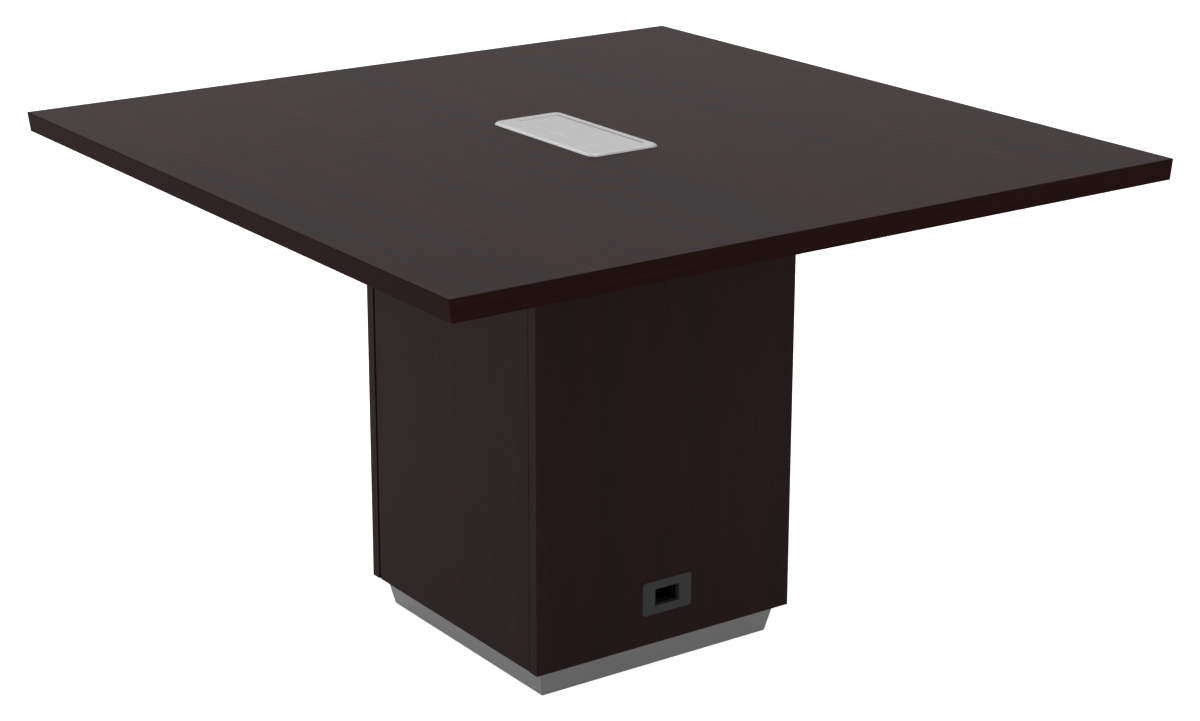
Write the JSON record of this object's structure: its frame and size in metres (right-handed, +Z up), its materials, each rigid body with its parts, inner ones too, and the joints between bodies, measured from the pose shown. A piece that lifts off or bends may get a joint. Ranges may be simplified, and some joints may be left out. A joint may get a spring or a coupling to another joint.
{
  "type": "square meeting table",
  "caption": "Square meeting table on a hollow square column with a tapered metal plinth, a flip-lid power module in the top, a cable port and an access door.",
  "frame": {"origin": "centre of the table's footprint on the floor", "axes": "+Z up; -Y is the front, whose column face has the cable port; -X is the left side with the access door; the top's grain runs along Y"},
  "size_m": [1.1998, 1.2, 0.766],
  "materials": {
    "espresso_laminate": "dark espresso wood-grain laminate, satin",
    "espresso_band": "wood-grain plastic edge band, satin",
    "brushed_plinth": "brushed, anodised",
    "raw_board": "unfaced softwood and particleboard",
    "beech": "fluted beech, bare",
    "zinc": "zinc plated",
    "brass": "turned",
    "steel": "plain",
    "nylon": "moulded nylon",
    "silver_casting": "silver powder coat, satin",
    "tray_steel": "black powder coat",
    "socket_plastic": "moulded, fine matt",
    "port_plastic": "moulded, fine matt",
    "latch_plastic": "moulded"
  },
  "bodies": {
    "table": {"top_panel": "espresso_laminate", "front_panel": "espresso_laminate", "back_panel": "espresso_laminate", "closed_side_panel": "espresso_laminate", "bottom_panel": "espresso_laminate", "door_side_rail": "espresso_laminate", "closed_side_rail": "espresso_laminate", "door_stop_strip": "espresso_laminate", "edge_band_left": "espresso_band", "edge_band_right": "espresso_band", "edge_band_front": "espresso_band", "edge_band_back": "espresso_band", "plinth_face_front": "brushed_plinth", "plinth_face_right": "brushed_plinth", "plinth_face_back": "brushed_plinth", "plinth_face_left": "brushed_plinth", "plinth_rail_front": "raw_board", "plinth_rail_right": "raw_board", "plinth_rail_back": "raw_board", "plinth_rail_left": "raw_board", "plinth_corner_blocks": "raw_board", "wood_dowels": "beech", "cam_locks": "zinc", "cam_bolts": "zinc", "plinth_screws": "zinc", "wood_screws": "zinc", "clamp_screws": "zinc", "port_screws": "zinc", "foot_nuts": "zinc", "tray_rivets": "zinc", "top_inserts": "brass", "top_bolts": "steel", "pivot_leaves": "steel", "pivot_pins": "steel", "lid_pins": "steel", "module_clamps": "steel", "cord_gland": "nylon", "module_bezel": "silver_casting", "module_tray": "tray_steel", "socket_panel": "tray_steel", "power_outlet_front": "socket_plastic", "power_outlet_back": "socket_plastic", "usb_charger": "socket_plastic", "data_jacks": "socket_plastic", "port_bezel": "port_plastic", "port_back_ring": "port_plastic", "push_latch_body": "latch_plastic"},
    "door": {"access_door": "espresso_laminate", "door_bushes": "nylon", "door_strike_plate": "steel"},
    "latch_plunger": {"push_latch_plunger": "latch_plastic"},
    "lid": {"module_lid": "silver_casting"},
    "pad_1": {"foot_pad_1": "nylon"},
    "stem_1": {"foot_stem_1": "zinc"},
    "pad_2": {"foot_pad_2": "nylon"},
    "stem_2": {"foot_stem_2": "zinc"},
    "pad_3": {"foot_pad_3": "nylon"},
    "stem_3": {"foot_stem_3": "zinc"},
    "pad_4": {"foot_pad_4": "nylon"},
    "stem_4": {"foot_stem_4": "zinc"}
  },
  "joints": [
    {"name": "door_swing", "type": "hinge", "parent": "table", "child": "door", "pos_m": [-0.221, -0.196, 0.387], "axis": [0, 0, 1], "range_deg": [0, 90]},
    {"name": "lid_flip", "type": "hinge", "parent": "table", "child": "lid", "pos_m": [0.027, 0, 0.761], "axis": [0, 1, 0], "range_deg": [0, 105]},
    {"name": "latch_push", "type": "slide", "parent": "table", "child": "latch_plunger", "axis": [1, 0, 0], "range_m": [0, 0.004], "stiffness_N_per_m": 400},
    {"name": "foot_1_height", "type": "slide", "parent": "table", "child": "pad_1", "axis": [0, 0, -1], "range_m": [0, 0.01001]},
    {"name": "foot_1_turn", "type": "hinge", "parent": "pad_1", "child": "stem_1", "pos_m": [-0.1565, -0.1565, 0.02], "axis": [0, 0, -1], "range_deg": [0, 2880]},
    {"name": "foot_2_height", "type": "slide", "parent": "table", "child": "pad_2", "axis": [0, 0, -1], "range_m": [0, 0.01001]},
    {"name": "foot_2_turn", "type": "hinge", "parent": "pad_2", "child": "stem_2", "pos_m": [0.1565, -0.1565, 0.02], "axis": [0, 0, -1], "range_deg": [0, 2880]},
    {"name": "foot_3_height", "type": "slide", "parent": "table", "child": "pad_3", "axis": [0, 0, -1], "range_m": [0, 0.01001]},
    {"name": "foot_3_turn", "type": "hinge", "parent": "pad_3", "child": "stem_3", "pos_m": [0.1565, 0.1565, 0.02], "axis": [0, 0, -1], "range_deg": [0, 2880]},
    {"name": "foot_4_height", "type": "slide", "parent": "table", "child": "pad_4", "axis": [0, 0, -1], "range_m": [0, 0.01001]},
    {"name": "foot_4_turn", "type": "hinge", "parent": "pad_4", "child": "stem_4", "pos_m": [-0.1565, 0.1565, 0.02], "axis": [0, 0, -1], "range_deg": [0, 2880]}
  ],
  "couplings": [
    {"joint": "foot_1_height", "follows": "foot_1_turn", "m_per_rad": 0.00019894},
    {"joint": "foot_2_height", "follows": "foot_2_turn", "m_per_rad": 0.00019894},
    {"joint": "foot_3_height", "follows": "foot_3_turn", "m_per_rad": 0.00019894},
    {"joint": "foot_4_height", "follows": "foot_4_turn", "m_per_rad": 0.00019894}
  ]
}
